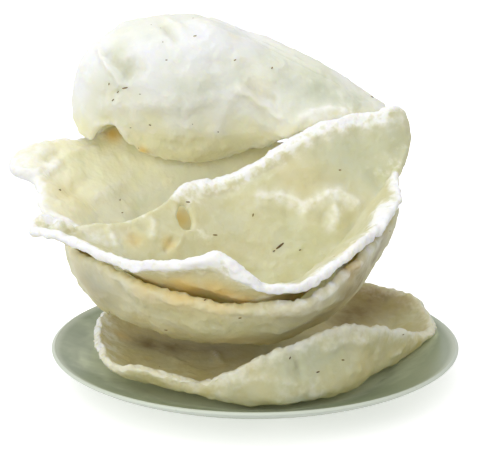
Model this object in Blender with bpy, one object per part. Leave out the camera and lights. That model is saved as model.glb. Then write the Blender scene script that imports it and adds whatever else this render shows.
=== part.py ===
"""A stack of five puffed rice papadums on a coupe side plate.

Metres, +Z up. The origin is the middle of the plate's flat underside, and the stack's low front
faces -Y. Each papadum is one crumpled sheet: its rim runs through a few stations, and a curved
profile joins its foot to every point of that rim. The stations are in millimetres.
"""

import math

import bmesh
import bpy
import numpy as np
from mathutils import Vector, noise
from mathutils.bvhtree import BVHTree

MM = 0.001

# Plate: a shallow coupe plate, 200 mm across.
PLATE_RADIUS = 100.0
PLATE_HEIGHT = 17.0
PLATE_FLOOR = 4.5
PLATE_FOOT_RADIUS = 56.0
PLATE_LIP = 2.2
PLATE_SEGMENTS = 64

# Papadums: the fried sheet, its swollen rim, and the air left between two that touch.
SHEET = 3.2
BEAD = 5.0
BEAD_WIDTH = 0.12
AIR = 0.9
RINGS = 11
RIM_POINTS = 8 * RINGS

# Unevenness of the fried sheet: long swellings and short puckers.
SWELL = 3.5
SWELL_SIZE = 34.0
PUCKER = 1.8
PUCKER_SIZE = 14.0

# The sheet's body follows its rim with the short waves eased away (in rim points), and those waves
# come back as a power of the way from the foot.
SPAN_STEPS = 40
BODY_EASE = 3.0
HEADING_EASE = 10.0
RIM_FADE = 4
IRON = 0.6

# How fast the push around a torn hole dies away.
TEAR_FADE = 3

# Seating one sheet on another: rounds, how much a push spreads to its neighbours, how deep below
# a carrier's face a point still counts as its own, and how square to that face it must lie.
SEAT_ROUNDS = 24
SPREAD = 0.65
DEEPEST = 12.0
SQUARE = 0.7

PAPAD_ROUGHNESS = 0.55
PLATE_ROUGHNESS = 0.25


def clear_scene():
    for old in list(bpy.data.objects):
        bpy.data.objects.remove(old, do_unlink=True)


def material(name, colour, roughness):
    made = bpy.data.materials.new(name)
    made.use_nodes = True
    shader = made.node_tree.nodes["Principled BSDF"]
    shader.inputs["Base Color"].default_value = (*colour, 1.0)
    shader.inputs["Roughness"].default_value = roughness
    shader.inputs["Metallic"].default_value = 0.0
    return made


def add_object(name, mesh, look):
    mesh.materials.append(look)
    mesh.shade_smooth()
    made = bpy.data.objects.new(name, mesh)
    bpy.context.collection.objects.link(made)
    return made


# ---------------------------------------------------------------- plate

def plate_profile():
    """Radius and height round the plate's wall, from the middle of its top to its underside."""
    lip = PLATE_RADIUS - PLATE_LIP
    top = [(0.0, PLATE_FLOOR), (30.0, PLATE_FLOOR), (60.0, PLATE_FLOOR), (70.0, PLATE_FLOOR + 1.6),
           (82.0, PLATE_FLOOR + 5.6), (92.0, PLATE_FLOOR + 9.6)]
    edge = [(lip, PLATE_HEIGHT - 0.5), (lip + 0.9, PLATE_HEIGHT),
            (PLATE_RADIUS - 0.3, PLATE_HEIGHT - 0.3), (PLATE_RADIUS, PLATE_HEIGHT - 1.2)]
    under = [(95.0, PLATE_HEIGHT - 4.4), (84.0, PLATE_FLOOR + 3.4), (72.0, PLATE_FLOOR - 0.8),
             (PLATE_FOOT_RADIUS + 3.0, PLATE_FLOOR - 3.4), (PLATE_FOOT_RADIUS, 0.0), (0.0, 0.0)]
    return top + edge + under


def turned(name, profile, segments, look):
    """Spin a profile whose two ends lie on the Z axis."""
    bm = bmesh.new()
    rings = []
    for radius, height in profile:
        if radius == 0.0:
            rings.append([bm.verts.new((0.0, 0.0, height * MM))])
            continue
        turns = [2.0 * math.pi * k / segments for k in range(segments)]
        rings.append([bm.verts.new((radius * MM * math.cos(a), radius * MM * math.sin(a), height * MM))
                      for a in turns])
    for inner, outer in zip(rings, rings[1:]):
        for k in range(segments):
            corners = [inner[k % len(inner)], outer[k % len(outer)],
                       outer[(k + 1) % len(outer)], inner[(k + 1) % len(inner)]]
            bm.faces.new(list(dict.fromkeys(corners)))
    mesh = bpy.data.meshes.new(name)
    bm.to_mesh(mesh)
    bm.free()
    return add_object(name, mesh, look)


# ---------------------------------------------------------------- papadum sheets

def rim_curve(stations, flat):
    """Closed smooth curve through the stations, sampled RIM_POINTS times at equal steps.

    A station is x, y, z, the slope in degrees with which the sheet arrives at the rim (90 stands
    up, 0 flares flat, below 0 hangs over) and how long that slope lasts. Two more values are left
    out where they are usual: how far the sheet runs level from its foot, and how far it bellies.
    """
    usual = (flat, 0.0)
    rows = np.array([(*station, *usual[len(station) - 5:]) for station in stations], float)
    ahead = np.roll(rows, -1, axis=0)
    chord = np.linalg.norm((ahead - rows)[:, :3], axis=1)[:, None]
    before = np.roll(chord, 1, axis=0)
    step_out = (ahead - rows) / chord
    step_in = np.roll(step_out, 1, axis=0)
    tangent = (step_out * before + step_in * chord) / (chord + before)
    t = np.linspace(0.0, 1.0, SPAN_STEPS, endpoint=False)[:, None]
    spans = []
    for k in range(len(rows)):
        following = (k + 1) % len(rows)
        spans.append((2 * t**3 - 3 * t**2 + 1) * rows[k]
                     + (3 * t**2 - 2 * t**3) * rows[following]
                     + (t**3 - 2 * t**2 + t) * chord[k] * tangent[k]
                     + (t**3 - t**2) * chord[k] * tangent[following])
    curve = np.concatenate(spans + [rows[:1]])
    walked = np.concatenate([[0.0], np.cumsum(np.linalg.norm(np.diff(curve[:, :3], axis=0), axis=1))])
    places = np.linspace(0.0, walked[-1], RIM_POINTS, endpoint=False)
    return np.stack([np.interp(places, walked, column) for column in curve.T], axis=1)


def eased(loop, spread):
    """A closed loop of rows with its short waves averaged out."""
    reach = int(3 * spread)
    weights = [math.exp(-0.5 * (k / spread) ** 2) for k in range(-reach, reach + 1)]
    total = sum(w * np.roll(loop, k, axis=0) for w, k in zip(weights, range(-reach, reach + 1)))
    return total / sum(weights)


def outward_of(loop):
    """Level direction away from a counter-clockwise loop, at each of its points."""
    along = np.roll(loop, -1, axis=0)[:, :2] - np.roll(loop, 1, axis=0)[:, :2]
    along /= np.linalg.norm(along, axis=1)[:, None]
    return np.stack([along[:, 1], -along[:, 0], np.zeros(len(along))], axis=1)


def between(loop, turn):
    """Value of a closed loop at a turn from 0 to 1."""
    place = turn * len(loop)
    low = math.floor(place)
    here = loop[low % len(loop)]
    return here + (place - low) * (loop[(low + 1) % len(loop)] - here)


def sheet_grid():
    """Points of a square net, each as ring (0 at the foot, 1 at the rim) and turn (0 to 1), and its quads.

    A quad's first and third corners lie on the diagonal that points away from the foot.
    """
    where = {}
    spots = []
    for i in range(-RINGS, RINGS + 1):
        for j in range(-RINGS, RINGS + 1):
            ring = max(abs(i), abs(j))
            if ring == 0:
                turn = 0.0
            elif i == ring:
                turn = j / ring / 8
            elif j == ring:
                turn = 0.25 - i / ring / 8
            elif i == -ring:
                turn = 0.5 - j / ring / 8
            else:
                turn = 0.75 + i / ring / 8
            where[i, j] = len(spots)
            spots.append((ring / RINGS, turn % 1.0))
    quads = []
    for i in range(-RINGS, RINGS):
        for j in range(-RINGS, RINGS):
            quad = (where[i, j], where[i + 1, j], where[i + 1, j + 1], where[i, j + 1])
            same_side = (i < 0) == (j < 0)
            quads.append(quad if same_side else quad[1:] + quad[:1])
    return spots, quads


def profile_point(foot, rim, outward, along):
    """Point of the sheet at a share of the way from the foot to one rim point."""
    end = rim[:3]
    slope, reach, flat, belly = rim[3:]
    run = (end - foot) * (1.0, 1.0, 0.0)
    length = np.linalg.norm(end - foot)
    arrive = math.cos(math.radians(slope)) * outward + (0.0, 0.0, math.sin(math.radians(slope)))
    leave = foot + flat * run + belly * outward
    near_rim = end - reach * length * arrive
    rest = 1.0 - along
    return rest**3 * foot + 3 * rest**2 * along * leave + 3 * rest * along**2 * near_rim + along**3 * end


def unevenness(point, seed):
    """Height of the fried sheet's swellings and puckers at a point, in millimetres."""
    shift = Vector((seed * 17.3, seed * 5.9, seed * 11.1))
    return (SWELL * noise.noise(point / SWELL_SIZE + shift)
            + PUCKER * noise.noise(point / PUCKER_SIZE - shift))


def neighbours_of(points, quads):
    near = [set() for _ in points]
    for quad in quads:
        for a, b in zip(quad, quad[1:] + quad[:1]):
            near[a].add(b)
            near[b].add(a)
    return near


def relaxed(points, quads, free, rounds):
    """Iron the creases out of a sheet's free points and keep its fullness.

    Each round draws every point to its neighbours' middle, and then pushes it away by the same share.
    """
    near = neighbours_of(points, quads)
    for share in (IRON, -IRON) * rounds:
        middles = [sum((points[n] for n in around), Vector()) / len(around) for around in near]
        points = [p + share * (m - p) if loose else p for p, m, loose in zip(points, middles, free)]
    return points


def face_normals(points, quads):
    """Normal at each point of a sheet."""
    sums = [Vector() for _ in points]
    for quad in quads:
        a, b, c, d = (points[k] for k in quad)
        normal = (c - a).cross(d - b)
        for k in quad:
            sums[k] += normal
    return [s.normalized() for s in sums]


class Sheet:
    """Middle surface of one papadum, in millimetres."""

    def __init__(self, foot, flat, stations, seed, relaxing=0, tears=()):
        foot = np.array(foot, float)
        rim = rim_curve(stations, flat)
        body = eased(rim, BODY_EASE)
        outward = outward_of(eased(rim, HEADING_EASE))
        spots, self.quads = sheet_grid()
        self.points = []
        self.half = []
        for ring, turn in spots:
            point = profile_point(foot, between(body, turn), between(outward, turn), ring)
            point += ring**RIM_FADE * (between(rim, turn) - between(body, turn))[:3]
            self.points.append(Vector(point))
            swelling = max(0.0, 1.0 - (1.0 - ring) / BEAD_WIDTH)
            self.half.append(0.5 * (SHEET + (BEAD - SHEET) * swelling))
        self.quad_half = [max(self.half[k] for k in quad) for quad in self.quads]
        self.points = relaxed(self.points, self.quads, [ring < 1.0 for ring, _ in spots], relaxing)
        normals = face_normals(self.points, self.quads)
        self.points = [p + n * unevenness(p, seed) for p, n in zip(self.points, normals)]
        for place, radius in tears:
            self.tear(Vector(place), radius)

    def tear(self, place, radius):
        """Take out the quad nearest to a place and push the net around that place back to the radius."""
        def off_place(quad):
            return (sum((self.points[k] for k in quad), Vector()) / 4 - place).length
        torn = min(self.quads, key=off_place)
        for k, point in enumerate(self.points):
            away = (point - place).length
            opened = (away**TEAR_FADE + radius**TEAR_FADE) ** (1 / TEAR_FADE)
            self.points[k] = place + (point - place) * (opened / away)
        at = self.quads.index(torn)
        del self.quads[at]
        del self.quad_half[at]

    def carrier(self, upper):
        """The sheet as something that another lies on, above it or only clear of it."""
        return self.points, self.quads, self.quad_half, upper


def push_off(point, half, trees):
    """Move that takes a point of a sheet clear of the ones it lies on."""
    push = Vector()
    for tree, halves, upper in trees:
        place, normal, face, gap = tree.find_nearest(point + push)
        need = half + halves[face] + AIR
        away = point + push - place
        side = away.dot(normal)
        if upper and side < -SQUARE * gap and gap < DEEPEST:
            push += normal * (need - side)
        elif gap < need:
            push += away.normalized() * (need - gap)
    return push


def seat(sheet, carriers):
    """Push a sheet off the ones it lies on until there is AIR between them everywhere.

    A carrier is its points, its faces, half its thickness at each face, and whether the sheet
    must lie on the side that its faces look to.
    """
    trees = [(BVHTree.FromPolygons(points, faces), halves, upper)
             for points, faces, halves, upper in carriers]
    neighbours = neighbours_of(sheet.points, sheet.quads)
    for turn in range(SEAT_ROUNDS):
        pushes = [push_off(point, half, trees) for point, half in zip(sheet.points, sheet.half)]
        for quad, half in zip(sheet.quads, sheet.quad_half):
            middle = sum((sheet.points[k] + pushes[k] for k in quad), Vector()) / 4
            shove = push_off(middle, half, trees)
            for k in quad:
                pushes[k] = max(pushes[k], pushes[k] + shove, key=lambda v: v.length)
        if turn < SEAT_ROUNDS / 2:
            around = [sum((pushes[n] for n in near), Vector()) / len(near) for near in neighbours]
            pushes = [max(own, SPREAD * mean, key=lambda v: v.length) for own, mean in zip(pushes, around)]
        sheet.points = [p + v for p, v in zip(sheet.points, pushes)]


def papadum(name, sheet, look):
    """Thicken a sheet into a closed solid whose rim is its thickest part."""
    bm = bmesh.new()
    thick = bm.verts.layers.deform.verify()
    corners = [bm.verts.new(p * MM) for p in sheet.points]
    for quad in sheet.quads:
        bm.faces.new([corners[k] for k in quad])
    for corner, half in zip(corners, sheet.half):
        corner[thick][0] = 2.0 * half / BEAD
    bmesh.ops.delete(bm, geom=[v for v in bm.verts if not v.link_faces], context="VERTS")
    bmesh.ops.triangulate(bm, faces=bm.faces[:], quad_method="FIXED")
    mesh = bpy.data.meshes.new(name)
    bm.to_mesh(mesh)
    bm.free()
    made = add_object(name, mesh, look)
    made.vertex_groups.new(name="thickness")
    solid = made.modifiers.new("sheet", "SOLIDIFY")
    solid.thickness = BEAD * MM
    solid.offset = 0.0
    solid.vertex_group = "thickness"
    solid.use_quality_normals = True
    return made


# ---------------------------------------------------------------- the five papadums

def bottom_sheet():
    """Low crumpled cup that lies on the plate, with its tall wall at the front right."""
    return Sheet(
        foot=(-5, -5, 8), flat=0.75, seed=1,
        stations=[
            (92, 25, 19, 60, 0.06), (90, 40, 21, 60, 0.06), (80, 54, 25, 65, 0.1), (63, 62, 27, 65, 0.12),
            (42, 72, 30, 60, 0.15), (5, 80, 30, 60, 0.15), (-35, 74, 28, 60, 0.15), (-66, 52, 24, 60, 0.12),
            (-79, 22, 22, 65, 0.12), (-77, -8, 22, 65, 0.12), (-74, -34, 22, 60, 0.12), (-70, -51, 22, 55, 0.12),
            (-60, -58, 22, 60, 0.15), (-49, -60, 23, 70, 0.18, 0.9, 6), (-38, -65, 20, 80, 0.15, 1.0, 10),
            (-27, -67, 18, 84, 0.14, 1.0, 10), (-16, -68, 22, 90, 0.2, 1.0, 20), (2, -66, 31, 96, 0.34, 1.0, 36),
            (16, -63, 35, 102, 0.4, 1.0, 42), (36, -53, 40, 100, 0.45, 1.0, 38), (56, -37, 35, 90, 0.4, 1.0, 24),
            (72, -18, 27, 80, 0.3, 0.95, 10), (85, -3, 20, 72, 0.15, 0.85, 4), (91, 10, 19, 60, 0.08),
        ],
    )


def lower_bowl_sheet():
    """Deep bowl that stands in the bottom papadum and shows its whole outer wall."""
    return Sheet(
        foot=(-12, 2, 20), flat=0.45, seed=2,
        stations=[
            (69, -1, 82, 80, 0.4), (66, 24, 83, 76, 0.4), (50, 54, 82, 72, 0.4), (18, 74, 84, 70, 0.4),
            (-20, 80, 86, 70, 0.4), (-56, 71, 84, 75, 0.4), (-83, 48, 78, 82, 0.4, 0.5),
            (-93, 20, 71, 90, 0.38, 0.55), (-92, 0, 67, 94, 0.35, 0.55), (-86, -24, 68, 90, 0.35, 0.55),
            (-68, -50, 68, 80, 0.35), (-46, -63, 60, 78, 0.3), (-21, -67, 55, 75, 0.3), (-4, -68, 54, 70, 0.3),
            (19, -72, 58, 66, 0.35), (39, -56, 67, 72, 0.4), (58, -27, 75, 78, 0.4),
        ],
    )


def back_bowl_sheet():
    """Bowl whose left and back walls show above the front bowl, with a lip rolled out at the left."""
    return Sheet(
        foot=(-12, 4, 26), flat=0.4, seed=3,
        stations=[
            (46, 6, 52, 60, 0.4), (50, 26, 74, 62, 0.4), (44, 48, 92, 62, 0.4), (28, 64, 100, 62, 0.4),
            (4, 74, 104, 60, 0.4), (-32, 76, 110, 60, 0.4), (-58, 75, 114, 60, 0.38), (-75, 71, 112, 52, 0.34),
            (-92, 65, 106, 35, 0.3),
            (-103, 59, 106, 10, 0.25), (-113, 51, 105, -20, 0.2), (-121, 42, 101, -40, 0.2),
            (-125, 34, 96, -55, 0.2), (-121, 26, 92, -60, 0.18), (-112, 21, 91, -50, 0.14),
            (-108, 14, 89, 0, 0.12), (-107, 5, 85, 15, 0.14), (-103, -5, 81, 18, 0.18), (-88, -13, 77, 28, 0.22),
            (-66, -22, 55, 55, 0.3),
            (-42, -34, 41, 45, 0.3), (-12, -36, 33, 35, 0.3), (14, -30, 33, 35, 0.3), (34, -14, 40, 50, 0.3),
        ],
    )


def front_bowl_sheet():
    """Tilted bowl with a low wavy front rim, a high back wall and a lobe that folds out at the right."""
    return Sheet(
        foot=(6, -38, 41), flat=0.3, seed=4, relaxing=120,
        stations=[
            (70, 12, 97, 46, 0.28), (74, 20, 100, 48, 0.28), (79, 28, 108, 50, 0.28), (79, 34, 118, 52, 0.28),
            (74, 34, 128, 60, 0.3), (61, 31, 127, 68, 0.35), (44, 29, 123, 70, 0.35), (27, 27, 118, 68, 0.35),
            (9, 22, 108, 65, 0.35), (-8, 18, 98, 62, 0.35), (-26, 14, 93, 62, 0.55), (-35, 8, 94, 60, 0.5),
            (-41, -3, 86, 55, 0.5), (-52, -13, 82, 50, 0.45), (-64, -22, 80, 45, 0.25), (-78, -25, 81, 42, 0.2),
            (-87, -27, 79, 40, 0.2), (-94, -29, 86, 32, 0.18), (-103, -30, 86, 18, 0.15), (-104, -37, 83, 14, 0.12),
            (-92, -47, 80, 25, 0.15), (-70, -61, 76, 30, 0.2), (-54, -72, 73, 30, 0.2), (-33, -80, 75, 35, 0.2),
            (-13, -83, 82, 50, 0.25),
            (-2, -82, 71, 30, 0.25), (6, -80, 63, -5, 0.45), (20, -77, 64, -5, 0.45), (42, -59, 73, 0, 0.35),
            (61, -29, 81, 15, 0.3), (71, -2, 89, 36, 0.3), (71, 5, 93, 42, 0.3),
        ],
        tears=[((-34.7, -7.6, 79.2), 7.5)],
    )


def top_hood_sheet():
    """Upturned bowl that leans on the two bowls below and bulges out at the front."""
    return Sheet(
        foot=(-38, 72, 169), flat=0.6, seed=5,
        stations=[
            (70, 56, 122, -30, 0.3, 0.2), (54, 82, 114, -65, 0.35, 0.3), (18, 100, 108, -80, 0.4, 0.5),
            (-28, 106, 104, -85, 0.4), (-66, 102, 100, -88, 0.45), (-90, 88, 104, -98, 0.6),
            (-92, 62, 110, -102, 0.8), (-85, 50, 107, -105, 0.65, 0.6, 10), (-74, 50, 117, -120, 0.55, 0.6, 25),
            (-65, 55, 104, -135, 0.55, 0.6, 40), (-54, 60, 99, -150, 0.6, 0.6, 45),
            (-32, 64, 97, -155, 0.6, 0.6, 50), (-10, 60, 98, -150, 0.6, 0.6, 45), (6, 48, 104, -125, 0.5, 0.5, 30),
            (20, 36, 112, -85, 0.35, 0.4, 15), (34, 35, 117, -60, 0.3, 0.3), (50, 37, 119, -45, 0.3, 0.25),
            (63, 44, 121, -35, 0.3, 0.2),
        ],
    )


def main():
    clear_scene()
    glaze = material("plate_glaze", (0.62, 0.68, 0.64), PLATE_ROUGHNESS)
    plate = turned("plate", plate_profile(), PLATE_SEGMENTS, glaze)
    plate_points = [corner.co / MM for corner in plate.data.vertices]
    plate_faces = [tuple(face.vertices) for face in plate.data.polygons]

    bottom = bottom_sheet()
    seat(bottom, [(plate_points, plate_faces, [0.0] * len(plate_faces), True)])
    lower = lower_bowl_sheet()
    seat(lower, [bottom.carrier(True)])
    back = back_bowl_sheet()
    seat(back, [lower.carrier(True)])
    front = front_bowl_sheet()
    seat(front, [lower.carrier(True), back.carrier(True)])
    hood = top_hood_sheet()
    seat(hood, [back.carrier(True), front.carrier(False)])

    for name, sheet, colour in (
        ("papad_bottom", bottom, (0.80, 0.79, 0.63)),
        ("papad_lower_bowl", lower, (0.81, 0.79, 0.64)),
        ("papad_back_bowl", back, (0.84, 0.82, 0.68)),
        ("papad_front_bowl", front, (0.85, 0.84, 0.70)),
        ("papad_top_hood", hood, (0.88, 0.87, 0.78)),
    ):
        papadum(name, sheet, material(name + "_crisp", colour, PAPAD_ROUGHNESS))


main()
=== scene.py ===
"""The finish of a stack of rice papadums on a side plate: crumpled, blistered crisps and a glazed plate."""

import math

import bmesh
import bpy
import numpy as np
from mathutils import Matrix, Vector
from mathutils.bvhtree import BVHTree
from mathutils.kdtree import KDTree


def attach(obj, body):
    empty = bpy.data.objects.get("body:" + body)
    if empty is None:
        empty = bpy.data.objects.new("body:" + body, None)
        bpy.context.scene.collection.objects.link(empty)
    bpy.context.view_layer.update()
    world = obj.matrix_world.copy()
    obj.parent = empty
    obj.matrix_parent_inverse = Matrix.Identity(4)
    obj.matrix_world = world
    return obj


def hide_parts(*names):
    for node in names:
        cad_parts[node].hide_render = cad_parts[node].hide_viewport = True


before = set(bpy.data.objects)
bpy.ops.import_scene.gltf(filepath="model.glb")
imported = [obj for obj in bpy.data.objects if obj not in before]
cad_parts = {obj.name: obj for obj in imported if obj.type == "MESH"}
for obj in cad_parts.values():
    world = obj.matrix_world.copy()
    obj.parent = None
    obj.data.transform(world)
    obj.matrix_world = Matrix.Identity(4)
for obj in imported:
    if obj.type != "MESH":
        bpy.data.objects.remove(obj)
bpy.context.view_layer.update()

MM = 0.001

# ---------------------------------------------------------------- sizes, in millimetres
# photograph's frame and focal length, in pixels
PICTURE = (500, 456)
FOCAL = 1196.7

# the eye stands DISTANCE from the middle of the plate's lip, ELEVATION degrees up, and looks at AIM
AIM = (-2.5, 0.0, 72.55)
DISTANCE = 600.0
ELEVATION = 18.83
SENSOR = 36.0
FAR_CLIP = 100000.0

# plate: radius and height round its wall, from its middle over the lip to its underside
PLATE_WALL = [
    (0.0, 4.5), (30.0, 4.5), (60.0, 4.5), (70.0, 6.1), (82.0, 10.1), (92.0, 14.1),
    (97.8, 16.5), (98.7, 17.0), (99.7, 16.7), (100.0, 15.8),
    (95.0, 12.6), (84.0, 7.9), (72.0, 3.7), (59.0, 1.1), (56.0, 0.0), (0.0, 0.0),
]
PLATE_HEIGHT = 17.0
PLATE_STEPS = 5
PLATE_TURNS = 192

# relief of the papadums: size and height of each kind of lump
SHEET_LEVELS = 3
WELD = 0.01
RELIEF = {
    "Swell": (30.0, 1.3),
    "Crumple": (13.0, 1.4),
    "Blister": (6.5, 0.6),
    "Crinkle": (3.2, 0.2),
    "Nub": (6.0, 1.9),
}
BLISTER_EDGE = (0.50, 0.72)
CRINKLE_OPEN = 2.0
CRINKLE_RIM = 9.0

# rim: a corner sharper than RIM_CORNER degrees whose surroundings lie off to one side is on it
RIM_CORNER = 50.0
RIM_LOOK = 12.8
RIM_OFFSET = 2.8
RIM_STEPS = 8
# it is thickest up to the first of these distances from it, and not thickened past the second
RIM_BAND = (1.2, 4.2)
# the white along it fades over this distance
RIM_FRINGE = 5.0

# shelter: lines of sight in all directions, how far they look, how far off the surface they start,
# and the least rise over it that counts
SIGHT_LINES = 64
SIGHT_REACH = 90.0
SIGHT_START = 0.6
SIGHT_RISE = 0.1

# places of painted light, shade and glow, and bare stretches of rim: how fast they fade, how much reaches a
# face that stands square to one, and how fast that changes with its turn
PLACE_FADE = 1.5
FACING_SHARE = 1.3
FACING_SLOPE = 1.6

# folds: pixels between the points of a line, neighbours that share in its direction, points over which
# its ends run out, half widths that it reaches, depth to which it presses fully, and the share of the
# depth in choosing the nearest point
FOLD_STEP = 2.0
FOLD_LOOK = 3
FOLD_EASE = 4.0
FOLD_REACH = 3.0
FOLD_DEPTH = 5.0
FOLD_SLANT = 0.3

# pressed folds: lines of picture points, then half width and height towards the outside
FOLDS = {
    "papad_top_hood": [
        ([(96, 45), (101, 51), (104, 58), (108, 62), (112, 70), (118, 75), (121, 82), (126, 87)], 2.0, 2.8),
        ([(93, 47), (87, 58), (83, 68), (80, 80)], 2.2, 1.3),
        ([(104, 49), (113, 60), (122, 70), (132, 80)], 3.5, -2.4),
        ([(126, 88), (119, 91), (112, 95)], 1.3, -1.4),
        ([(95, 105), (125, 104), (155, 105), (190, 103), (222, 95), (255, 88)], 4.5, 1.5),
        ([(231, 93), (228, 104), (222, 115), (220, 126), (215, 138)], 4.0, 1.4),
        ([(235, 86), (242, 94), (251, 96), (258, 104), (268, 107), (276, 115), (288, 120)], 2.1, 1.5),
        ([(250, 106), (262, 114), (272, 124)], 2.6, -1.1),
        ([(200, 21), (225, 27), (250, 37), (275, 50), (300, 63), (330, 79)], 1.5, -0.9),
        ([(244, 84), (262, 95), (282, 103)], 3.0, -1.2),
        ([(158, 20), (165, 26), (172, 33), (180, 42)], 3.0, -1.8),
        ([(166, 18), (176, 26), (186, 33)], 2.6, 1.2),
        ([(127, 60), (138, 66), (150, 66)], 5.0, -1.6),
        ([(92, 126), (100, 123), (109, 121), (118, 124), (124, 131), (129, 142)], 1.5, 1.5),
        ([(160, 140), (185, 146), (210, 140)], 3.5, -1.0),
        ([(295, 121), (312, 113), (330, 109), (350, 112)], 2.4, 1.8),
        ([(205, 60), (235, 66), (262, 64)], 4.5, -1.0),
    ],
    "papad_front_bowl": [
        ([(252, 196), (266, 197), (280, 195), (294, 199), (304, 207), (308, 214)], 2.3, 1.4),
        ([(304, 203), (318, 199), (330, 193), (340, 192), (352, 200), (362, 208)], 2.5, 1.6),
        ([(334, 200), (337, 212), (334, 227)], 2.2, 1.4),
        ([(320, 205), (324, 214), (322, 224)], 2.2, -1.3),
        ([(256, 206), (275, 209), (292, 214)], 3.2, -1.2),
        ([(346, 212), (352, 222), (347, 232)], 3.0, -1.2),
        ([(300, 186), (325, 180), (350, 184)], 4.5, -1.2),
        ([(108, 231), (114, 240), (121, 250)], 1.6, 1.5),
        ([(130, 232), (135, 241), (139, 248)], 2.2, -1.6),
        ([(174, 234), (168, 243), (161, 253)], 1.6, -1.6),
        ([(184, 232), (178, 242), (171, 250)], 1.3, 1.0),
        ([(150, 215), (153, 228), (150, 243)], 2.4, 1.3),
        ([(36, 222), (44, 216), (54, 213)], 1.5, 1.8),
        ([(46, 233), (50, 224), (58, 217)], 1.4, -2.0),
        ([(56, 232), (60, 224), (66, 219)], 1.4, 2.2),
        ([(32, 228), (39, 225), (46, 227)], 1.4, -1.6),
        ([(66, 236), (72, 230), (82, 226)], 1.6, -1.4),
        ([(196, 188), (214, 186), (232, 180), (250, 171), (270, 160), (292, 147), (312, 137)], 1.7, 1.2),
        ([(300, 143), (318, 134), (340, 128), (366, 124), (385, 122)], 1.6, 1.0),
        ([(205, 196), (226, 190), (250, 179), (275, 167), (300, 152)], 2.0, -1.2),
        ([(240, 186), (262, 176), (290, 168)], 2.4, 0.8),
        ([(382, 120), (390, 123), (400, 121)], 1.3, 0.9),
        ([(366, 168), (374, 178), (380, 192)], 3.2, -1.2),
    ],
    "papad_back_bowl": [
        ([(13, 167), (24, 171), (36, 173), (46, 170)], 2.4, 2.4),
        ([(44, 162), (52, 154), (60, 147)], 2.6, -2.4),
        ([(42, 178), (52, 170), (64, 160)], 2.0, 1.6),
        ([(56, 200), (75, 188), (92, 170)], 4.0, -1.2),
        ([(88, 205), (110, 190), (135, 172)], 4.0, 1.2),
        ([(70, 152), (84, 150), (104, 147)], 2.0, 1.0),
        ([(150, 166), (170, 167), (188, 166)], 1.6, 1.0),
    ],
    "papad_lower_bowl": [
        ([(150, 284), (175, 298), (205, 306), (240, 309)], 2.2, 1.0),
        ([(110, 272), (122, 292), (140, 308)], 3.2, -1.1),
        ([(250, 312), (300, 312), (345, 296)], 3.0, 0.9),
        ([(330, 262), (352, 272), (362, 286)], 2.6, -1.1),
    ],
    "papad_bottom": [
        ([(265, 340), (268, 352), (266, 366)], 2.0, -1.6),
        ([(292, 348), (297, 362), (300, 380)], 1.8, -1.5),
        ([(395, 318), (392, 332), (388, 345)], 2.2, -1.4),
        ([(320, 350), (345, 342), (372, 340)], 3.0, 1.3),
        ([(213, 350), (218, 358), (222, 367)], 1.8, 2.0),
        ([(230, 385), (262, 378), (300, 384)], 3.0, 1.0),
        ([(405, 345), (398, 352), (388, 358)], 1.6, 1.2),
    ],
}

# places where light, shade and glow are painted into the colour (the pale ones also whiten some chalky
# rims): picture point, reach, strength
# painted golden glow and warm shade in gaps, holes and hollows
PAINTED_GOLDEN_GLOW = [
    ((181, 219), 9.0, 0.9), ((168, 243), 4.0, 0.6), ((113, 134), 6.0, 1.0), ((143, 150), 4.5, 0.9),
    ((134, 240), 4.5, 0.5), ((150, 285), 9.0, 0.5), ((185, 288), 12.0, 0.8), ((220, 292), 12.0, 0.8),
    ((243, 300), 6.0, 0.7), ((352, 265), 9.0, 0.4), ((257, 91), 10.0, 0.15), ((235, 36), 5.0, 0.2),
    ((121, 336), 7.0, 0.4), ((235, 340), 12.0, 0.3), ((70, 196), 12.0, 0.2), ((300, 178), 16.0, 0.15),
]
# painted brown shade in hollows and on shaded walls, such as the bottom papadum's right hollow and the lower
# bowl's right side
PAINTED_BROWN_SHADE = [
    ((355, 272), 12.0, 0.7), ((345, 300), 16.0, 0.9), ((368, 302), 21.0, 0.9), ((392, 308), 14.0, 0.5),
    ((358, 312), 17.0, 0.9), ((346, 320), 15.0, 0.8), ((148, 345), 13.0, 0.9), ((170, 348), 13.0, 0.8),
    ((210, 350), 12.0, 0.4), ((97, 290), 14.0, 0.6), ((383, 238), 8.0, 0.7), ((358, 285), 13.0, 0.8),
    ((305, 316), 16.0, 0.45), ((375, 258), 10.0, 0.7),
]
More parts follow.
